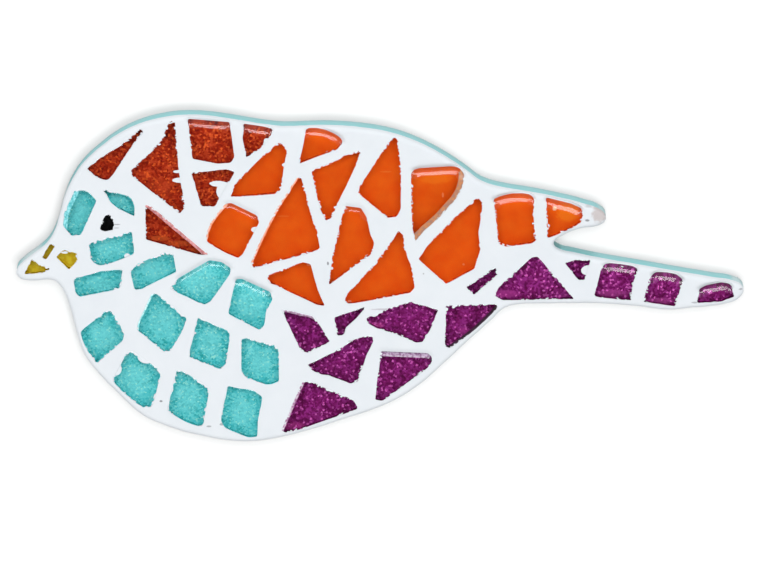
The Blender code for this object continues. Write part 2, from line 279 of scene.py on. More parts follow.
# Tones of the glitter coats; the spark tones are painted glints
GLITTER_TONES = {
    "_dark": ("Shaded flakes", (0.03, 0.49, 0.50), (0.17, 0.009, 0.006), (0.09, 0.004, 0.05)),
    "": ("Glitter coat", (0.12, 0.75, 0.785), (0.51, 0.032, 0.008), (0.24, 0.012, 0.145)),
    "_light": ("Bright flakes", (0.28, 0.93, 0.93), (0.80, 0.10, 0.03), (0.52, 0.05, 0.40)),
    "_spark": ("Sparks", (0.48, 1.0, 0.92), (1.0, 0.16, 0.03), (1.0, 0.18, 0.78)),
}
for tail, (about, *tones) in GLITTER_TONES.items():
    for kind, tone in zip(("teal", "red", "purple"), tones):
        COLOURS[kind + tail] = (tone, f"{about} of the {kind} glass")
STAGE = {
    "view_width": (PICTURE_WIDTH * SQUARE, "Width of what the camera sees at the board"),
    "lens": (250.0, "Focal length in millimetres"),
    "sky": (0.93, "Strength of the light from above"),
    "ground": (0.06, "Strength of the light from below"),
    "strip_lamp": (31.0, "Power of the long lamp above the camera"),
    "low_wall_lamp": (92.0, "Power of the lamp that brightens the wall from below"),
    "high_wall_lamp": (58.0, "Power of the lamp that brightens the wall from above"),
}

# The lamps: name, place, size, and whether they light the wall alone or everything but it
LAMPS = (
    ("strip_lamp", (0.0, -1.75, 1.0), (3.0, 0.35), "EXCLUDE"),
    ("low_wall_lamp", (0.17, -1.9, -0.53), (0.85, 0.85), "INCLUDE"),
    ("high_wall_lamp", (0.1, -1.9, 0.55), (0.85, 0.85), "INCLUDE"),
)
LIT_PLACE = (0.03, 0, -0.04)

# The wall just behind the plaque, the floor far below it, and the band in which the dome's light fades
WALL_BEHIND = 0.4 * MM
FLOOR_HEIGHT = -0.6
WALL_CORNERS = ((-3, FLOOR_HEIGHT), (3, FLOOR_HEIGHT), (3, 2.4), (-3, 2.4))
FLOOR_CORNERS = ((-3, -3), (3, -3), (3, 3), (-3, 3))
HORIZON = (-0.12, 0.12)


def pattern(column, row, depth=GLASS_FRONT):
    """A place of the squared drawing as a point (x, z) of the flat pattern, for what lies at a depth."""
    drop = (depth - BOARD_FRONT) * math.sin(SEEN_FROM_ABOVE) / SQUARE
    across = (column - FIXING[0]) * SQUARE
    up = (FIXING[1] - row + drop) * SQUARE / math.cos(SEEN_FROM_ABOVE)
    return across, up


def outlines(node):
    """The closed lines round the flat back of a CAD node as arrays of (x, z), the longest one first."""
    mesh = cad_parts[node].data
    mesh.calc_loop_triangles()
    back = max(vertex.co.y for vertex in mesh.vertices)
    ways = set()
    for triangle in mesh.loop_triangles:
        corners = [mesh.vertices[index].co for index in triangle.vertices]
        if all(back - corner.y < 0.01 * MM for corner in corners):
            keys = [(round(corner.x, 6), round(corner.z, 6)) for corner in corners]
            ways.update(zip(keys, keys[1:] + keys[:1]))
    onward = {start: end for start, end in ways if (end, start) not in ways}
    loops = []
    while onward:
        here, there = onward.popitem()
        loop = [here]
        while there != here:
            loop.append(there)
            there = onward.pop(there)
        loops.append(np.array(loop[::-1]))
    return sorted(loops, key=lambda loop: -np.ptp(loop, axis=0).max())


def distances(points, line):
    """How far every point lies from every stretch of a closed line."""
    along = following(line) - line
    offset = points[:, None] - line[None]
    share = (offset * along).sum(axis=2) / (along ** 2).sum(axis=1)
    nearest = np.clip(share, 0, 1)[..., None] * along
    return np.linalg.norm(offset - nearest, axis=2)


def in_blocks(measure, points, *others):
    """Measure many points a block at a time and join the results."""
    if len(points) == 0:
        return measure(points, *others)
    blocks = np.array_split(points, 1 + len(points) // BLOCK)
    return np.concatenate([measure(block, *others) for block in blocks])


def edge_distance(points, line):
    """How far every point lies from a closed line, less than nothing outside it."""
    gap = distances(points, line).min(axis=1)
    return np.where(inside(points, line), gap, -gap)


def following(values):
    """Each value's follower on a closed line."""
    return np.roll(values, -1, axis=0)


def inside(points, line):
    """Which points lie inside a closed line."""
    return within(points, line, following(line))


def within(points, starts, ends):
    """Which points lie inside the closed lines that the stretches make up."""
    x, z = points[:, :1], points[:, 1:]
    crosses = (starts[:, 1] > z) != (ends[:, 1] > z)
    rise = ends[:, 1] - starts[:, 1]
    rise = np.where(rise == 0, 1, rise)
    meets = starts[:, 0] + (z - starts[:, 1]) * (ends[:, 0] - starts[:, 0]) / rise
    return (crosses & (x < meets)).sum(axis=1) % 2 == 1


def wander(points, size, seed):
    """A smooth random height from -1 to 1 at every point, with bumps of about the given size."""
    count = LATTICE
    lattice = np.random.default_rng(seed).uniform(-1, 1, (count, count))
    turned = points @ np.array(((0.8, -0.6), (0.6, 0.8))) / size + count
    cell = np.floor(turned).astype(int)
    share = turned - cell
    share = share * share * (3 - 2 * share)
    column, row = (cell % count).T
    right, upper = (column + 1) % count, (row + 1) % count
    low = lattice[column, row] * (1 - share[:, 0]) + lattice[right, row] * share[:, 0]
    high = lattice[column, upper] * (1 - share[:, 0]) + lattice[right, upper] * share[:, 0]
    return low + (high - low) * share[:, 1]


def layered(points, layers, seed):
    """Random heights added up: each layer has a weight, the size of its bumps and the next seed."""
    return sum(weight * wander(points, size, seed + place) for place, (weight, size) in enumerate(layers))


def smooth_step(low, high, value):
    """Nothing below low, one above high and a soft change between them."""
    share = np.clip((value - low) / (high - low), 0, 1)
    return share * share * (3 - 2 * share)


def evened(line, step):
    """A closed line as a smooth curve through its points, with points about a step apart."""
    before, after, beyond = (np.roll(line, shift, axis=0) for shift in (1, -1, -2))
    pieces = []
    for index in range(len(line)):
        count = max(1, round(np.linalg.norm(after[index] - line[index]) / step))
        for share in np.arange(count) / count:
            ends = (2 * line[index] + (after[index] - before[index]) * share)
            bend = 2 * before[index] - 5 * line[index] + 4 * after[index] - beyond[index]
            twist = 3 * line[index] - before[index] - 3 * after[index] + beyond[index]
            pieces.append((ends + bend * share ** 2 + twist * share ** 3) / 2)
    return np.array(pieces)


def outward_of(line):
    """The outward direction at every point of an anticlockwise closed line."""
    along = following(line) - np.roll(line, 1, axis=0)
    along = along / np.linalg.norm(along, axis=1)[:, None]
    return np.stack((along[:, 1], -along[:, 0]), axis=1)


def squared(line, step):
    """A square grid of places over a closed line's box."""
    low, high = line.min(axis=0), line.max(axis=0)
    return np.mgrid[low[0]:high[0]:step, low[1]:high[1]:step].reshape(2, -1).T


def in_space(points, depth):
    """Points of the flat pattern at the given depths in front of the wall."""
    depth = np.broadcast_to(depth, len(points))
    return np.stack((points[:, 0], -depth, points[:, 1]), axis=1)


def triangulated(points, edges, kind):
    """Blender's triangles over points and edges: its points, triangles and where each given point went."""
    flat = [Vector(point) for point in points]
    found = delaunay_2d_cdt(flat, [tuple(map(int, edge)) for edge in edges], [], kind, MERGED, True)
    went = {}
    for index, given in enumerate(found[3]):
        for old in given:
            went[old] = index
    return np.array([tuple(point) for point in found[0]]), np.array(found[2]), went


def ring_edges(start, count):
    """The edges that close a run of points into a ring."""
    return [(start + index, start + (index + 1) % count) for index in range(count)]


def dress(name, points, faces, finishes, which=None, sharp=40):
    """Make a mesh piece with its materials, shaded smooth but for its sharp edges."""
    mesh = bpy.data.meshes.new(name)
    mesh.from_pydata(points.tolist(), [], faces)
    for finish in finishes:
        mesh.materials.append(finish)
    if which is not None:
        mesh.polygons.foreach_set("material_index", which)
    mesh.shade_smooth()
    mesh.set_sharp_from_angle(angle=math.radians(sharp))
    mesh.validate()
    piece = bpy.data.objects.new(name, mesh)
    bpy.context.scene.collection.objects.link(piece)
    return piece


def hand_over(piece, slot, *nodes):
    """Let a piece stand for its CAD nodes."""
    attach(piece, "root")
    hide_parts(*nodes)


class Tile:
    """One piece of glass: its outline, how far its rim is rounded along it and the height of its front."""

    def __init__(self, name, sizes):
        self.name = name
        self.sizes = sizes
        self.front = GLASS_FRONT - sizes.sunk
        self.seed = sum(map(ord, name))
        self.line, self.rim, self.bare = self.rounded(outlines(name)[0], sizes)
        wave = layered(self.line, CUT_LAYERS, self.seed)
        inset = (sizes.cut_wave * (wave + 1.6) / 3.2 - sizes.cut_spread) * (1 - self.bare)
        self.line = self.line - outward_of(self.line) * inset[:, None]
        self.reach = (1.2 + 1.1 * BARE_TOPS.get(name, 0)) * MM
        self.edge_fall = self.rim + self.bare * self.shoulder(0)

        facing, width = BANDS.get(name, (0, 0))[:2]
        way = np.array((math.cos(math.radians(facing)), math.sin(math.radians(facing))))
        self.banded = outward_of(self.line) @ way > 0.85
        self.band_width = width * MM

    def band_faces(self, middles):
        """The material slot of each triangle of the front: the clear face or the band along a broken side, a
        filmed side or a painted highlight.
        """
        if self.name not in BANDS:
            return [0] * len(middles)
        gap = distances(middles, self.line)[:, self.banded].min(axis=1)
        return np.where(gap < self.band_width, 3, 0).tolist()

    def shoulder(self, gap):
        """How far the gently sloping shoulder of a moulded side has fallen, at a distance from that side."""
        left = np.clip(self.reach - gap, 0, None)
        ease = self.sizes.shoulder_ease
        return self.sizes.shoulder_slope * np.where(left < ease, left ** 2 / (2 * ease), left - ease / 2)

    def rounded(self, corners, sizes):
        """The outline with round corners, its rim's radius and how bare it is at each point."""
        count = len(corners)
        ahead = following(corners) - corners
        length = np.linalg.norm(ahead, axis=1)
        along = ahead / length[:, None]
        outward = np.stack((along[:, 1], -along[:, 0]), axis=1)
        upward = (outward @ np.array((0.12, 0.99))) > 0.6
        open_side = upward * float(self.name in BARE_TOPS)
        rim = np.where(open_side > 0, sizes.moulded_rim, sizes.cut_rim)
        rows = []
        for index in range(count):
            last = index - 1
            cut_back = min(sizes.corner, 0.4 * length[last], 0.4 * length[index])
            start = corners[index] - along[last] * cut_back
            end = corners[index] + along[index] * cut_back
            for share in np.linspace(0, 1, 5):
                bend = (1 - share) ** 2 * start + 2 * share * (1 - share) * corners[index] + share ** 2 * end
                radius = rim[last] * (1 - share) + rim[index] * share
                rows.append((*bend, radius, open_side[last] * (1 - share) + open_side[index] * share))
            next_back = min(sizes.corner, 0.4 * length[index], 0.4 * length[(index + 1) % count])
            room = length[index] - cut_back - next_back
            steps = max(1, round(room / sizes.step))
            for share in np.arange(1, steps) / steps:
                rows.append((*(end + along[index] * room * share), rim[index], open_side[index]))
        rows = np.array(rows)
        return rows[:, :2], rows[:, 2], rows[:, 3]

    def surface(self, points):
        """How far in front of the wall the glass lies under each point."""
        gap = distances(points, self.line)
        over = inside(points, self.line)
        outside = self.edge_fall[gap.argmin(axis=1)]
        gap = np.where(over[:, None], gap, 0)
        short = np.clip(self.rim - gap, 0, self.rim)
        drop = self.rim - np.sqrt(self.rim ** 2 - short ** 2) + self.bare * self.shoulder(gap)
        return self.front - np.where(over, drop.max(axis=1), outside)

    def near(self, points, margin):
        """Which points lie in the tile's box, grown by a margin."""
        low, high = self.line.min(axis=0) - margin, self.line.max(axis=0) + margin
        return ((points > low) & (points < high)).all(axis=1)


def tile_names(kind):
    """The CAD nodes of one kind of glass."""
    return sorted(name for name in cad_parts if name.startswith(kind + "_tile"))


def glass_piece(tile, finishes):
    """One piece of glass as a closed mesh: clear front, cut sides and coloured back."""
    line, rim = tile.line, tile.rim
    count = len(line)
    outward = outward_of(line)
    rings = [(rim * (1 - math.sin(math.radians(angle))), rim > 0) for angle in RIM_ANGLES]
    rings += [(share * tile.reach, tile.bare > 0.5) for share in SHOULDER_SHARES]
    if tile.name in BANDS:
        rings.append((tile.band_width, tile.banded))
    extra = []
    for inset, kept in rings:
        inset = np.broadcast_to(inset, count)[kept]
        ring = line[kept] - outward[kept] * inset[:, None]
        if len(ring):
            extra.append(ring[edge_distance(ring, line) > 0.8 * inset])
    grid = squared(line, GLASS_GRID)
    extra.append(grid[edge_distance(grid, line) > 1.1 * rim.max()])
    points, triangles, went = triangulated(np.concatenate((line, *extra)), ring_edges(0, count), 1)
    around = [went[index] for index in range(count)]
    depth = tile.surface(points)
    depth[around] = tile.front - tile.edge_fall
    front = in_space(points, depth)
    back = in_space(line, GLASS_BACK)
    total = len(points)
    faces = [tuple(triangle) for triangle in triangles.tolist()]
    which = tile.band_faces(points[triangles].mean(axis=1))
    for index in range(count):
        after = (index + 1) % count
        faces.append((around[index], total + index, total + after, around[after]))
    which += [1] * count
    faces.append(tuple(total + index for index in reversed(range(count))))
    which.append(2)
    piece = dress(tile.name + "_glass", np.concatenate((front, back)), faces, finishes, which)
    hand_over(piece, tile.name.split("_tile")[0].replace("eye", "black") + "_glass", tile.name)
    return piece


def hollow_depth(points, tiles, reach):
    """How far the grout lies low beside the bare upper sides of the glass."""
    depth = np.zeros(len(points))
    for tile in tiles:
        if tile.name in BARE_TOPS:
            picked = np.flatnonzero(tile.near(points, 2 * reach))
            if len(picked):
                gap = distances(points[picked], tile.line)
                bare = (tile.bare + following(tile.bare)) / 2
                share = (1 - smooth_step(0.1 * reach, reach, gap)) * bare
                found = share.max(axis=1) * BARE_TOPS[tile.name] * MM
                depth[picked] = np.maximum(depth[picked], found)
    return depth


def opening_field(tile, points, sizes):
    """More than nothing where the glass shows through the grout, at each point."""
    gap = edge_distance(points, tile.line)
    lip = sizes.lip * (1 + 0.9 * wander(points, LIP_PATCH, tile.seed + 2))
    calm = smooth_step(-0.5, 0.5, wander(points, CALM_PATCH, tile.seed + 6))
    rough = sizes.ragged * min(1, np.ptp(tile.line, axis=0).max() / WHOLE_TILE) * calm
    lip = lip + rough * wander(points, NOTCH, tile.seed + 3)
    lip = lip + 1.3 * rough * wander(points * np.array(WIPED), COMB, tile.seed + 4)
    lip = lip - 2.5 * hollow_depth(points, [tile], LIP_HOLLOW)
    field = gap - np.clip(lip, -LIP_HOLLOW_LIMIT, None)
    for column, row, wide, tall in TONGUES.get(tile.name, ()):
        centre = np.array(pattern(column, row))
        size = np.array((wide, tall)) * SQUARE
        away = np.linalg.norm((points - centre) / size, axis=1) - 1
        away = away * size.min() + TONGUE_WAVE * wander(points, TONGUE_PATCH, tile.seed + 5)
        field = np.minimum(field, away)
    return field


def contour(field, low, step):
    """The stretches of the line where a gridded field is nothing, as points and pairs."""
    above = field > 0
    points, keys = [], {}

    def crossing(cell, other):
        """The point between two grid places on either side of the line."""
        key = (cell, other)
        if key not in keys:
            share = field[cell] / (field[cell] - field[other])
            place = np.array(cell) + share * (np.array(other) - np.array(cell))
            keys[key] = len(points)
            points.append(low + place * step)
        return keys[key]

    mixed = above[:-1, :-1].astype(int) + above[1:, :-1] + above[:-1, 1:] + above[1:, 1:]
    pairs = []
    for i, j in zip(*np.nonzero((mixed > 0) & (mixed < 4))):
        i, j = int(i), int(j)
        sides = (((i, j), (i + 1, j)), ((i + 1, j), (i + 1, j + 1)),
                 ((i, j + 1), (i + 1, j + 1)), ((i, j), (i, j + 1)))
        cut = [crossing(*side) for side in sides if above[side[0]] != above[side[1]]]
        pairs.append(cut[:2])
        if len(cut) == 4:
            pairs.append(cut[2:])
    return np.array(points), np.array(pairs)


def longest_loops(points, pairs, fewest):
    """Only the closed lines of at least so many stretches."""
    mates = {}
    for start, end in pairs.tolist():
        mates.setdefault(start, []).append(end)
        mates.setdefault(end, []).append(start)
    kept, seen = set(), set()
    for first in mates:
        if first in seen:
            continue
        group, waiting = {first}, [first]
        while waiting:
            for mate in mates[waiting.pop()]:
                if mate not in group:
                    group.add(mate)
                    waiting.append(mate)
        seen |= group
        if len(group) >= fewest:
            kept |= group
    return np.array([pair for pair in pairs.tolist() if pair[0] in kept])


class GroutPlan:
    """The flat plan of the grout: its outline, pockets round the glass and ragged openings over it."""

    def __init__(self, tiles, sizes):
        self.tiles = tiles
        self.sizes = sizes
        edge = evened(outlines("grout")[0], OUTLINE_STEP)
        inset = sizes.edge_wave * (layered(edge, OUTLINE_LAYERS, OUTLINE_SEED) + 1.5) / 3
        self.outline = edge - outward_of(edge) * inset[:, None]
        self.points, self.edges = [], []
        self.openings = {}
        self.count = 0
        self.add(self.outline, ring_edges(0, len(self.outline)))
        for tile in tiles:
            pocket = tile.line + outward_of(tile.line) * POCKET_GAP
            self.add(pocket, ring_edges(0, len(pocket)))
            self.openings[tile.name] = (pocket, *self.opening(tile))
        for inset in OUTLINE_RINGS:
            ring = self.outline - outward_of(self.outline) * inset * MM
            self.scatter(ring, 0.8 * inset * MM)
        for tile in tiles:
            for gap in POCKET_RINGS:
                self.scatter(tile.line + outward_of(tile.line) * gap * MM, 0.15 * MM, gap)
        self.scatter(self.grid(GROUT_GRID), 0.5 * MM, 0.8)

    def add(self, points, edges):
        """Take points and the edges between them into the plan."""
        self.edges += [(start + self.count, end + self.count) for start, end in edges]
        self.points.append(points)
        self.count += len(points)

    def scatter(self, points, clearance, gap=None):
        """Take in loose points that lie clear of the outline, and of the pockets by a gap in mm."""
        keep = in_blocks(edge_distance, points, self.outline) > clearance
        for tile in self.tiles:
            close = np.flatnonzero(tile.near(points, 2 * MM) & keep)
            if len(close):
                away = -edge_distance(points[close], tile.line)
                keep[close[away < (0.9 * gap if gap else 0.12) * MM]] = False
        self.add(points[keep], [])

    def grid(self, step):
        """A staggered grid of places over the whole outline."""
        grid = squared(self.outline, step)
        return grid + np.random.default_rng(GRID_SEED).uniform(-0.3, 0.3, grid.shape) * step

    def opening(self, tile):
        """The ragged edge of the grout over one piece of glass, as the ends of its stretches."""
        step = self.sizes.contour_step
        low = tile.line.min(axis=0) - OPENING_MARGIN
        shape = np.ceil((tile.line.max(axis=0) + OPENING_MARGIN - low) / step).astype(int)
        grid = low + np.indices(shape).reshape(2, -1).T * step
        field = opening_field(tile, grid, self.sizes).reshape(shape)
        points, pairs = contour(field, low, step)
        pairs = longest_loops(points, pairs, FEWEST_STRETCHES)
        used = np.unique(pairs)
        place = {old: new for new, old in enumerate(used.tolist())}
        pairs = [(place[start], place[end]) for start, end in pairs.tolist()]
        points = points[used]
        self.add(points, pairs)
        self.add(self.covered(tile, grid), [])
        pairs = np.array(pairs)
        return points[pairs[:, 0]], points[pairs[:, 1]]

    def covered(self, tile, grid):
        """Loose points in the grout's lips over a piece of glass, so that they follow its rim."""
        inward = outward_of(tile.line) * -MM
        loose = [tile.line + inward * inset for inset in LIP_RINGS]
        loose.append(grid[::LOOSE_SHARE])
        loose = np.concatenate(loose)
        loose = loose[edge_distance(loose, tile.line) > RIM_CLEARANCE]
        return loose[opening_field(tile, loose, self.sizes) < -LIP_CLEARANCE]

    def flush(self, points):
        """How far in front of the wall the grout's face lies at each point, away from the glass."""
        sizes = self.sizes
        gap = in_blocks(edge_distance, points, self.outline)
        level = GROUT_FRONT + sizes.undulation * layered(points, FACE_LAYERS, FACE_SEED)
        short = np.clip(1 - gap / sizes.edge_round, 0, 1)
        level = level - sizes.edge_drop * short ** 2
        return level - hollow_depth(points, self.tiles, HOLLOW_REACH)

    def under(self, points):
        """The level just above the glass at each point near a piece of it."""
        level = np.full(len(points), GROUT_BACK)
        for tile in self.tiles:
            picked = np.flatnonzero(tile.near(points, 0.2 * MM))
            if len(picked):
                level[picked] = np.maximum(level[picked], in_blocks(tile.surface, points[picked]))
        return level + GLASS_CLEARANCE


def grout_piece(plan, finish):
    """The grout as one closed mesh, with thin ragged lips over the glass."""
    points, triangles, _ = triangulated(np.concatenate(plan.points), plan.edges, 0)
    middles = points[triangles].mean(axis=1)
    sort = np.where(in_blocks(inside, middles, plan.outline), 1, 0)
    for tile in plan.tiles:
        pocket, from_here, to_there = plan.openings[tile.name]
        picked = np.flatnonzero(tile.near(middles, MM))
        covered = inside(middles[picked], pocket)
        bare = within(middles[picked], from_here, to_there)
        sort[picked[covered]] = np.where(bare[covered], 0, 2)
    triangles, sort = triangles[sort > 0], sort[sort > 0]
    body, lip = triangles[sort == 1], triangles[sort == 2]

    total = len(points)
    has_lip = np.zeros(total, bool)
    has_lip[lip.ravel()] = True
    under = plan.under(points)
    top = plan.flush(points)
    film = plan.sizes.film * (1.2 + 0.5 * wander(points, FILM_PATCH, FILM_SEED))
    top = np.where(has_lip, np.maximum(top, under + film), top)
    top = np.minimum(top, GLASS_FRONT)
    levels = np.concatenate((in_space(points, top), in_space(points, under), in_space(points, GROUT_BACK)))
    faces = [tuple(face) for face in triangles.tolist()]
    faces += [(a + total, c + total, b + total) for a, b, c in lip.tolist()]
    faces += [(a + 2 * total, c + 2 * total, b + 2 * total) for a, b, c in body.tolist()]

    sides = {}
    for kind, (a, b, c) in zip(sort.tolist(), triangles.tolist()):
        for edge in ((a, b), (b, c), (c, a)):
            sides[edge] = kind
    for (a, b), kind in sides.items():
        other = sides.get((b, a), 0)
        if kind == 2 and other == 0:
            faces.append((a, a + total, b + total, b))
        elif kind == 2 and other == 1:
            faces.append((b + total, a + total, a + 2 * total, b + 2 * total)[::-1])
        elif kind == 1 and other == 0:
            down = [a, a + total, a + 2 * total] if has_lip[a] else [a, a + 2 * total]
            rise = [b + 2 * total, b + total, b] if has_lip[b] else [b + 2 * total, b]
            faces.append(tuple(down + rise))
    used = np.unique(np.concatenate([np.array(face) for face in faces]))
    place = np.full(3 * total, -1)
    place[used] = np.arange(len(used))
    faces = [tuple(int(place[index]) for index in face) for face in faces]
    piece = dress("grout_layer", levels[used], faces, [finish], sharp=50)
    hand_over(piece, "pale_grout", "grout")
    return piece


def board_piece(finish, sizes):
    """The painted board with its edges eased."""
    line = evened(outlines("board")[0], OUTLINE_STEP)
    outward = outward_of(line)
    ease = sizes.board_ease
    rings = ((0, ease), (0.3 * ease, 0.3 * ease), (ease, 0), (BOARD_FRONT - ease, 0),
             (BOARD_FRONT - 0.3 * ease, 0.3 * ease), (BOARD_FRONT, ease))
    points = np.concatenate([in_space(line - outward * inset, depth) for depth, inset in rings])
    count = len(line)
    faces = [tuple(reversed(range(count)))]
    for ring in range(len(rings) - 1):
        for a, b in ring_edges(ring * count, count):
            faces.append((a, b, b + count, a + count))
    faces.append(tuple(range((len(rings) - 1) * count, len(rings) * count)))
    piece = dress("painted_board", points, faces, [finish])
    hand_over(piece, "turquoise_paint", "board")
    return piece


def operator_pair(operation):
    """A Python operator on sockets and its reflected form, each as one Math node."""

    def plain(self, other):
        return self.recipe.add("ShaderNodeMath", {"operation": operation}, {0: self, 1: other})

    def reflected(self, other):
        return self.recipe.add("ShaderNodeMath", {"operation": operation}, {0: other, 1: self})

    return plain, reflected


class Socket:
    """A value inside a material. Python's operators on it add the nodes that work it out."""

    def __init__(self, recipe, link):
        self.recipe = recipe
        self.link = link

    __add__, __radd__ = operator_pair("ADD")
    __sub__, __rsub__ = operator_pair("SUBTRACT")
    __mul__, __rmul__ = operator_pair("MULTIPLY")
    __truediv__, __rtruediv__ = operator_pair("DIVIDE")
    __gt__, __lt__ = operator_pair("GREATER_THAN")

    def out(self, name):
        """Another output of the node that this value comes from."""
        return Socket(self.recipe, self.link.node.outputs[name])

    def step(self, low, high, first=0.0, last=1.0):
        """The first value below low, the last one above high and a soft change between."""
        sockets = {0: self, 1: low, 2: high, 3: first, 4: last}
        return self.recipe.add("ShaderNodeMapRange", {"interpolation_type": "SMOOTHSTEP"}, sockets)

    def ramp(self, *stops):
        """A colour for each value, through stops of a place and a colour."""
        return self.recipe.add("ShaderNodeValToRGB", {"stops": stops}, {0: self})


class Recipe:
    """The nodes of a material or a world as they are mixed."""

    def __init__(self, tree):
        self.tree = tree
        self.place = None

    def add(self, kind, settings=None, sockets=None, out=0):
        """Add a node, with its settings first and then its sockets' values or links."""
        node = self.tree.nodes.new(kind)
        for key, value in (settings or {}).items():
            if key == "stops":
                while len(node.color_ramp.elements) < len(value):
                    node.color_ramp.elements.new(1)
                for stop, (place, colour) in zip(node.color_ramp.elements, value):
                    stop.position = place
                    stop.color = (*colour, 1)
            else:
                setattr(node, key, value)
        for key, value in (sockets or {}).items():
            self.feed(node.inputs[key], value)
        return Socket(self, node.outputs[out])

    def feed(self, socket, value):
        """Put a number, a colour or a link into a socket."""
        if isinstance(value, Socket):
            self.tree.links.new(value.link, socket)
        else:
            socket.default_value = (*value, 1) if socket.type == "RGBA" else value

    def where(self):
        """The place on the piece, in metres."""
        if self.place is None:
            self.place = self.add("ShaderNodeTexCoord", out="Object")
        return self.place

    def noise(self, size, detail=2.0, where=None):
        """Soft random values from 0 to 1 with patches of a size in metres."""
        sockets = {"Vector": where or self.where(), "Scale": 1 / size, "Detail": detail}
        return self.add("ShaderNodeTexNoise", None, sockets)

    def cells(self, size):
        """A random colour for every cell of a size in metres, parted into its three values."""
        sockets = {"Vector": self.where(), "Scale": 1 / size}
        cell = self.add("ShaderNodeTexVoronoi", {"feature": "F1"}, sockets, out="Color")
        parted = self.add("ShaderNodeSeparateColor", None, {0: cell})
        return parted, parted.out("Green"), parted.out("Blue")

    def blend(self, factor, low, high):
        """A mix of two colours."""
        return self.add("ShaderNodeMix", {"data_type": "RGBA"}, {0: factor, 6: low, 7: high}, out=2)

    def bump(self, height, distance, strength):
        """Small relief from a height."""
        sockets = {"Height": height, "Distance": distance, "Strength": strength}
        return self.add("ShaderNodeBump", None, sockets)

    def stretched(self, x, y, z):
        """The place scaled along each axis."""
        return self.add("ShaderNodeVectorMath", {"operation": "MULTIPLY"}, {0: self.where(), 1: (x, y, z)})

    def axes(self):
        """The place parted into x, y and z."""
        x = self.add("ShaderNodeSeparateXYZ", None, {0: self.where()})
        return x, x.out("Y"), x.out("Z")


class Finish(Recipe):
    """A material: the recipe of its shader."""

    def __init__(self, name, **plain):
        self.material = bpy.data.materials.new(name)
        self.material.use_nodes = True
        super().__init__(self.material.node_tree)
        self.shader = self.tree.nodes["Principled BSDF"]
        self.shade(**plain)

    def shade(self, **sockets):
        """Feed the shader's own sockets, and give back the material."""
        for name, value in sockets.items():
            self.feed(self.shader.inputs[name.replace("_", " ")], value)
        return self.material


def marked(recipe, tone, marks, drop=0.0):
    """Lay soft marks of the squared drawing over a colour, each a drop lower for what lies in front of it."""
    x, _, z = recipe.axes()
    rough = recipe.noise(0.8 * MM, 2.0)
    for column, row, wide, tall, colour, strength in marks:
        across, up = pattern(column, row)
        aside = (x - across) / (wide * SQUARE)
        above = (z - (up - drop)) / (tall * SQUARE)
        far = aside * aside + above * above + (rough - 0.5) * 1.6
        tone = recipe.blend((1 - far.step(0.3, 1.3)) * strength, tone, colour)
    return tone


def middles(kind, colour, strength):
    """Painted light: soft lighter marks over the middle of every piece of one kind of glass, standing for the
    darker edges where the grout shades the glass.
    """
    marks = []
    for name in tile_names(kind):
        line = outlines(name)[0]
        (across, up), half = (line.min(axis=0) + line.max(axis=0)) / 2, 0.3 * np.ptp(line, axis=0) / SQUARE
        column = FIXING[0] + across / SQUARE
        row = FIXING[1] + (pattern(column, FIXING[1])[1] - up) * math.cos(SEEN_FROM_ABOVE) / SQUARE
        marks.append((column, row, *half, colour, strength))
    return marks


def clear_glass():
    """The clear glass of every tile's face."""
    finish = Finish("clear_glass", Base_Color=(1, 1, 1), Transmission_Weight=1.0, IOR=1.4, Roughness=0.02)
    return finish.material


def glitter(name, tones, grain, sparks, marks):
    """A colour coat full of glitter, seen through the glass; its tones are dark, middle, light and spark, the
    sparks being painted glints.
    """
    finish = Finish(name, Roughness=0.35, Specular_IOR_Level=0.0)
    dark, middle, light, spark = tones
    first, second, third = finish.cells(grain)
    cloud = finish.noise(3.5 * MM)
    tone = first * 0.62 + cloud * 0.75 - 0.18
    colour = tone.ramp((0.05, dark), (0.45, middle), (0.95, light))
    colour = marked(finish, colour, marks, GLASS_DROP)
    # The sparks are painted glints: flakes made bright in the base colour as if they caught the light
    painted_glints = (second > 1 - sparks) * (third * 0.6 + 0.4)
    return finish.shade(Base_Color=finish.blend(painted_glints, colour, spark))


def broken_side_and_highlight(name, pale, deep):
    """A broken or filmed side of a piece of glass, and for some pieces a painted highlight along the
    shoulder.
    """
    finish = Finish(name, Roughness=0.35)
    streaks = finish.noise(0.9 * MM, 3.0)
    return finish.shade(Base_Color=finish.blend(streaks.step(0.38, 0.62), deep, pale))


def cut_side(name, colour):
    """The cut side of a piece of glass, tinted by the coat behind it."""
    finish = Finish(name, Roughness=0.25, Specular_IOR_Level=0.0)
    cloud = finish.noise(0.8 * MM, where=finish.stretched(1, 0.3, 1))
    darker = [0.55 * value for value in colour]
    return finish.shade(Base_Color=finish.blend(cloud.step(0.3, 0.7), darker, colour))


def pale_grout(colours):
    """Matt near-white grout with a fine sandy grain."""
    finish = Finish("pale_grout_finish", Roughness=0.9, IOR=1.35)
    cloud = finish.noise(7 * MM, 3.0)
    grain = finish.noise(0.25 * MM)
    tone = cloud.ramp((0.3, colours.grout_shade), (0.65, colours.grout))
    tone = marked(finish, tone, GROUT_MARKS)
    return finish.shade(Base_Color=tone, Normal=finish.bump(grain, 0.02 * MM, 0.6))


def turquoise_paint(colours):
    """Brushed turquoise paint, with grout smears and painted shade laid on from the table."""
    finish = Finish("turquoise_paint_finish", Roughness=0.45)
    strokes = finish.noise(5 * MM, 4.0, where=finish.stretched(1, 6, 1))
    colour = strokes.ramp((0.3, colours.paint_deep), (0.7, colours.paint))
    colour = marked(finish, colour, PAINT_SMEARS_AND_SHADE, SIDE_DROP)
    return finish.shade(Base_Color=colour, Normal=finish.bump(strokes, 0.08 * MM, 0.4))


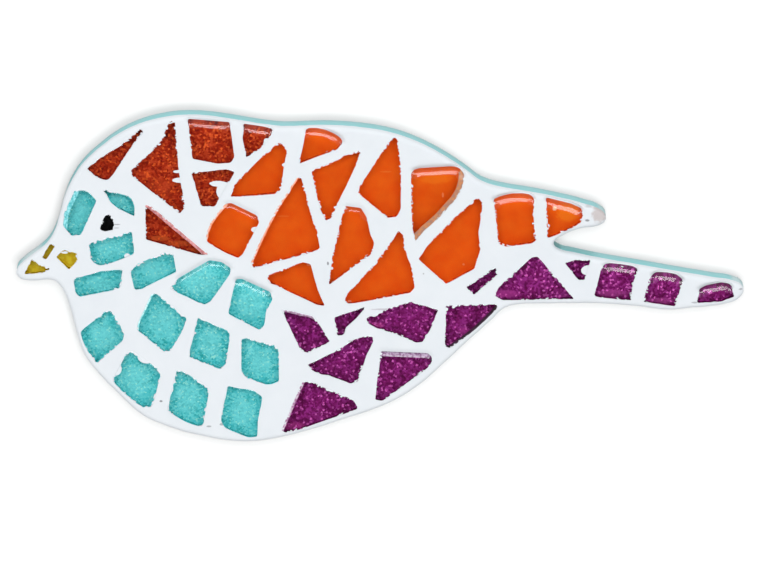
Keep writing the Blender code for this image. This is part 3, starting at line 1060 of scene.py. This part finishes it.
def plain_surface(name, shade, glow):
    """A plain matt grey stage surface with a little light of its own, which shows from its front only."""
    finish = Finish(name, Base_Color=(shade, shade, shade), Roughness=1.0, Specular_IOR_Level=0.0)
    finish.shade(Emission_Color=(1, 1, 1), Emission_Strength=glow)
    behind = finish.add("ShaderNodeNewGeometry", out="Backfacing")
    clear = finish.add("ShaderNodeBsdfTransparent")
    lit = Socket(finish, finish.shader.outputs[0])
    mixed = finish.add("ShaderNodeMixShader", None, {0: behind, 1: lit, 2: clear})
    finish.feed(finish.tree.nodes["Material Output"].inputs["Surface"], mixed)
    return finish.material


def flat_sheet(name, corners, finish):
    """A flat stage sheet."""
    mesh = bpy.data.meshes.new(name)
    mesh.from_pydata(corners, [], [(0, 1, 2, 3)])
    mesh.materials.append(finish)
    sheet = bpy.data.objects.new(name, mesh)
    bpy.context.scene.collection.objects.link(sheet)
    return sheet


def aimed(thing, target):
    """Turn a lamp or camera to look at a place."""
    thing.rotation_euler = (Vector(target) - thing.location).to_track_quat("-Z", "Y").to_euler()


def soft_lamp(name, place, size, power):
    """A soft lamp aimed at the plaque."""
    light = bpy.data.lights.new(name, "AREA")
    light.shape = "RECTANGLE"
    light.size, light.size_y = size
    light.energy = power
    lamp = bpy.data.objects.new(name, light)
    lamp.location = place
    aimed(lamp, LIT_PLACE)
    bpy.context.scene.collection.objects.link(lamp)
    return lamp


def light_only(lamp, thing, state):
    """Let a lamp light that one thing alone, or all but that one."""
    group = bpy.data.collections.new(lamp.name + "_group")
    group.objects.link(thing)
    group.collection_objects[0].light_linking.link_state = state
    lamp.light_linking.receiver_collection = group


def listed(kind, table, **fixed):
    """A property for each row of a table of values and descriptions."""
    return {key: kind(name=key.replace("_", " ").capitalize(), default=value, description=about, **fixed)
            for key, (value, about) in table.items()}


class PlaqueSizes(bpy.types.PropertyGroup):
    """Sizes of the plaque's finer forms."""

    __annotations__ = listed(bpy.props.FloatProperty, SIZES, subtype="DISTANCE", unit="LENGTH", precision=5)
    shoulder_slope: bpy.props.FloatProperty(name="Shoulder slope", default=0.42,
                                            description="Fall of a moulded shoulder for its width")


class PlaqueColours(bpy.types.PropertyGroup):
    """Colours of the plaque's finishes."""

    __annotations__ = listed(bpy.props.FloatVectorProperty, COLOURS, subtype="COLOR", min=0.0, max=1.0)


class StageSettings(bpy.types.PropertyGroup):
    """The camera, the light and the surroundings."""

    __annotations__ = listed(bpy.props.FloatProperty, STAGE, min=0.0)


def all_tiles(context):
    """Every piece of glass as a plan, worked out once."""
    if not TILES:
        for kind in ("teal", "red", "orange", "purple", "yellow", "eye"):
            for name in tile_names(kind):
                TILES[name] = Tile(name, context.scene.plaque_sizes)
    return TILES


TILES = {}


class GlassMaker:
    """What the operators for the glass share: the kind of glass and the colour of its cut sides."""

    kind = ""
    side = ""

    def tones(self, context, *tails):
        """The colours of this kind of glass, by the ends of their names."""
        return [getattr(context.scene.plaque_colours, self.kind + tail) for tail in tails]

    def coat(self, context):
        """The coat on the back of this kind of glass."""
        raise NotImplementedError

    def execute(self, context):
        """Build every piece of one kind of glass."""
        tiles = all_tiles(context)
        front = bpy.data.materials.get("clear_glass") or clear_glass()
        side = cut_side(self.kind + "_cut_side", getattr(context.scene.plaque_colours, self.side))
        finishes = [front, side, self.coat(context)]
        names = tile_names(self.kind)
        if not names:
            raise RuntimeError(f"the frame has no {self.kind} glass")
        for name in names:
            band = [broken_side_and_highlight(name + "_band", *BANDS[name][2:])] if name in BANDS else []
            glass_piece(tiles[name], finishes + band)
        return {"FINISHED"}


class GlitterMaker(GlassMaker):
    """What the operators for glass with a glitter coat share: the grain's size and the share of sparks."""

    grain = 0.68 * MM
    sparks = 0.0

    def marks(self, tones):
        """Marks on the coat: painted light, brighter patches from the table."""
        return COAT_LIGHT_MARKS[self.kind]

    def coat(self, context):
        tones = self.tones(context, *GLITTER_TONES)
        return glitter(self.kind + "_coat", tones, self.grain, self.sparks, self.marks(tones))


class PLAQUE_OT_teal_glass(GlitterMaker, bpy.types.Operator):
    """Build the teal glitter glass"""

    bl_idname = "plaque.teal_glass"
    bl_label = "Teal glass"
    kind = side = "teal"
    grain = 0.6 * MM
    sparks = 0.10

    def marks(self, tones):
        # Painted light: lighter middles on every teal piece
        return middles("teal", tones[2], 0.4)


class PLAQUE_OT_red_glass(GlitterMaker, bpy.types.Operator):
    """Build the dark red glitter glass"""

    bl_idname = "plaque.red_glass"
    bl_label = "Red glass"
    kind = side = "red"
    sparks = 0.15


class PLAQUE_OT_orange_glass(GlassMaker, bpy.types.Operator):
    """Build the orange glass"""

    bl_idname = "plaque.orange_glass"
    bl_label = "Orange glass"
    kind = "orange"
    side = "orange_deep"

    def coat(self, context):
        finish = Finish("orange_coat", Roughness=0.4, Specular_IOR_Level=0.0)
        light, deep = self.tones(context, "", "_deep")
        colour = finish.noise(6 * MM, 3.0).ramp((0.3, deep), (0.7, light))
        # Painted light: brighter patches and a painted highlight laid over the orange coat
        return finish.shade(Base_Color=marked(finish, colour, COAT_LIGHT_MARKS["orange"], GLASS_DROP))


class PLAQUE_OT_purple_glass(GlitterMaker, bpy.types.Operator):
    """Build the purple glitter glass"""

    bl_idname = "plaque.purple_glass"
    bl_label = "Purple glass"
    kind = side = "purple"
    sparks = 0.11


class PLAQUE_OT_yellow_glass(GlassMaker, bpy.types.Operator):
    """Build the mustard yellow glass of the beak"""

    bl_idname = "plaque.yellow_glass"
    bl_label = "Yellow glass"
    kind = "yellow"
    side = "yellow_deep"

    def coat(self, context):
        finish = Finish("yellow_coat", Roughness=0.4, Specular_IOR_Level=0.0)
        light, deep = self.tones(context, "", "_deep")
        return finish.shade(Base_Color=finish.noise(1.2 * MM, 3.0).ramp((0.35, deep), (0.6, light)))


class PLAQUE_OT_eye(GlassMaker, bpy.types.Operator):
    """Build the black glass of the eye"""

    bl_idname = "plaque.eye"
    bl_label = "Eye"
    kind = "eye"
    side = "eye_black"

    def coat(self, context):
        finish = Finish("eye_coat", Roughness=0.3, Specular_IOR_Level=0.0)
        black, grey = self.tones(context, "_black", "_grey")
        return finish.shade(Base_Color=finish.noise(0.8 * MM).ramp((0.3, black), (0.8, grey)))


class PLAQUE_OT_grout(bpy.types.Operator):
    """Build the grout with its ragged lips over the glass"""

    bl_idname = "plaque.grout"
    bl_label = "Grout"

    def execute(self, context):
        plan = GroutPlan(list(all_tiles(context).values()), context.scene.plaque_sizes)
        grout_piece(plan, pale_grout(context.scene.plaque_colours))
        return {"FINISHED"}


class PLAQUE_OT_board(bpy.types.Operator):
    """Build the painted board"""

    bl_idname = "plaque.board"
    bl_label = "Board"

    def execute(self, context):
        board_piece(turquoise_paint(context.scene.plaque_colours), context.scene.plaque_sizes)
        return {"FINISHED"}


class PLAQUE_OT_stage(bpy.types.Operator):
    """Set the wall, the floor, the light and the camera"""

    bl_idname = "plaque.stage"
    bl_label = "Stage"

    def execute(self, context):
        settings = context.scene.plaque_stage
        wall = flat_sheet("stage_wall", [(x, WALL_BEHIND, z) for x, z in WALL_CORNERS],
                          plain_surface("wall_white", 0.22, 0.29))
        for ray in ("diffuse", "glossy", "transmission", "shadow"):
            setattr(wall, "visible_" + ray, False)
        floor = flat_sheet("stage_floor", [(x, y, FLOOR_HEIGHT) for x, y in FLOOR_CORNERS],
                           plain_surface("floor_pale", 0.8, 0.0))
        floor.visible_glossy = False
        self.set_sky(context, settings)
        for name, place, size, state in LAMPS:
            light_only(soft_lamp(name, place, size, getattr(settings, name)), wall, state)
        self.set_camera(context, settings)
        context.scene.view_settings.view_transform = "Standard"
        return {"FINISHED"}

    def set_sky(self, context, settings):
        """A pale dome, brightest overhead and dim below."""
        world = bpy.data.worlds.new("studio_dome")
        context.scene.world = world
        world.use_nodes = True
        dome = Recipe(world.node_tree)
        place = dome.add("ShaderNodeTexCoord", out="Generated")
        height = dome.add("ShaderNodeSeparateXYZ", None, {0: place}, out="Z")
        background = dome.tree.nodes["Background"]
        dome.feed(background.inputs["Strength"], height.step(*HORIZON, settings.ground, settings.sky))
        dome.feed(background.inputs["Color"], (1, 1, 1))

    def set_camera(self, context, settings):
        """Look at the middle of the picture from a little above, through a long lens."""
        camera = bpy.data.cameras.new("camera")
        camera.lens = settings.lens
        viewer = bpy.data.objects.new("camera", camera)
        context.scene.collection.objects.link(viewer)
        across, up = pattern(*PICTURE_MIDDLE, BOARD_FRONT)
        target = Vector((across, -BOARD_FRONT, up))
        distance = settings.view_width * settings.lens / camera.sensor_width
        backwards = Vector((0, -math.cos(SEEN_FROM_ABOVE), math.sin(SEEN_FROM_ABOVE)))
        viewer.location = target + backwards * distance
        aimed(viewer, target)
        context.scene.camera = viewer


STEPS = (PLAQUE_OT_board, PLAQUE_OT_grout, PLAQUE_OT_teal_glass, PLAQUE_OT_red_glass, PLAQUE_OT_orange_glass,
         PLAQUE_OT_purple_glass, PLAQUE_OT_yellow_glass, PLAQUE_OT_eye, PLAQUE_OT_stage)


class PLAQUE_PT_sidebar(bpy.types.Panel):
    """The plaque's steps, in the 3D view's sidebar"""

    bl_idname = "PLAQUE_PT_sidebar"
    bl_label = "Bird mosaic plaque"
    bl_space_type = "VIEW_3D"
    bl_region_type = "UI"
    bl_category = "Plaque"

    def draw(self, context):
        for step in STEPS:
            self.layout.operator(step.bl_idname)


CLASSES = (PlaqueSizes, PlaqueColours, StageSettings, *STEPS, PLAQUE_PT_sidebar)


def register():
    for thing in CLASSES:
        bpy.utils.register_class(thing)
    bpy.types.Scene.plaque_sizes = bpy.props.PointerProperty(type=PlaqueSizes)
    bpy.types.Scene.plaque_colours = bpy.props.PointerProperty(type=PlaqueColours)
    bpy.types.Scene.plaque_stage = bpy.props.PointerProperty(type=StageSettings)


def unregister():
    del bpy.types.Scene.plaque_stage
    del bpy.types.Scene.plaque_colours
    del bpy.types.Scene.plaque_sizes
    for thing in reversed(CLASSES):
        bpy.utils.unregister_class(thing)


def main():
    """Build the plaque and its stage."""
    register()
    for step in STEPS:
        group, name = step.bl_idname.split(".")
        getattr(getattr(bpy.ops, group), name)()


if __name__ == "__main__":
    main()
